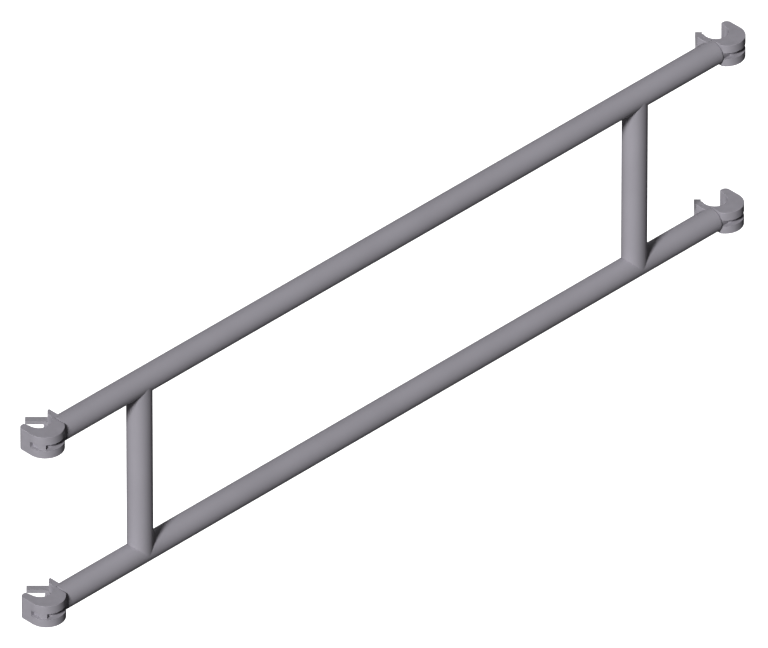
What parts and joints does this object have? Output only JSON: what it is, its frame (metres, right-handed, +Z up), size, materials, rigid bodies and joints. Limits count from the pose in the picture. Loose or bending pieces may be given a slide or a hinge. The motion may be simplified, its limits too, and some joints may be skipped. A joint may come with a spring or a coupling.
{
  "type": "scaffold guardrail",
  "caption": "Long guardrail frame of round tube with short posts between its rails and a latching claw at each rail end.",
  "frame": {"origin": "on the left upright's axis, level with the lower rail's axis: the seat centre of the lower left claw", "axes": "+X along the rails to the right upright, +Y the side the claws open to, +Z up along the uprights"},
  "size_m": [1.8859, 0.1052, 0.438],
  "materials": {
    "tube": "satin drawn tube",
    "casting": "cast, lightly blasted",
    "latch": "zinc plated, satin",
    "pin": "zinc plated",
    "spring": "drawn wire"
  },
  "bodies": {
    "frame": {"rail_lower": "tube", "rail_upper": "tube", "post_left": "tube", "post_right": "tube", "claw_left_lower": "casting", "latch_pin_left_lower": "pin", "latch_spring_left_lower": "spring", "claw_left_upper": "casting", "latch_pin_left_upper": "pin", "latch_spring_left_upper": "spring", "claw_right_lower": "casting", "latch_pin_right_lower": "pin", "latch_spring_right_lower": "spring", "claw_right_upper": "casting", "latch_pin_right_upper": "pin", "latch_spring_right_upper": "spring"},
    "latch_left_lower": {"latch_left_lower": "latch"},
    "latch_left_upper": {"latch_left_upper": "latch"},
    "latch_right_lower": {"latch_right_lower": "latch"},
    "latch_right_upper": {"latch_right_upper": "latch"}
  },
  "joints": [
    {"name": "latch_left_lower_pivot", "type": "hinge", "parent": "frame", "child": "latch_left_lower", "pos_m": [0.03246, 0.00049, 0], "axis": [0, 0, -1], "range_deg": [0, 36], "stiffness_Nm_per_rad": 0.4, "springref_deg": -11.46, "deforming": ["latch_spring_left_lower"]},
    {"name": "latch_left_upper_pivot", "type": "hinge", "parent": "frame", "child": "latch_left_upper", "pos_m": [0.03246, 0.00049, 0.388], "axis": [0, 0, -1], "range_deg": [0, 36], "stiffness_Nm_per_rad": 0.4, "springref_deg": -11.46, "deforming": ["latch_spring_left_upper"]},
    {"name": "latch_right_lower_pivot", "type": "hinge", "parent": "frame", "child": "latch_right_lower", "pos_m": [1.76754, 0.00049, 0], "axis": [0, 0, 1], "range_deg": [0, 36], "stiffness_Nm_per_rad": 0.4, "springref_deg": -11.46, "deforming": ["latch_spring_right_lower"]},
    {"name": "latch_right_upper_pivot", "type": "hinge", "parent": "frame", "child": "latch_right_upper", "pos_m": [1.76754, 0.00049, 0.388], "axis": [0, 0, 1], "range_deg": [0, 36], "stiffness_Nm_per_rad": 0.4, "springref_deg": -11.46, "deforming": ["latch_spring_right_upper"]}
  ]
}
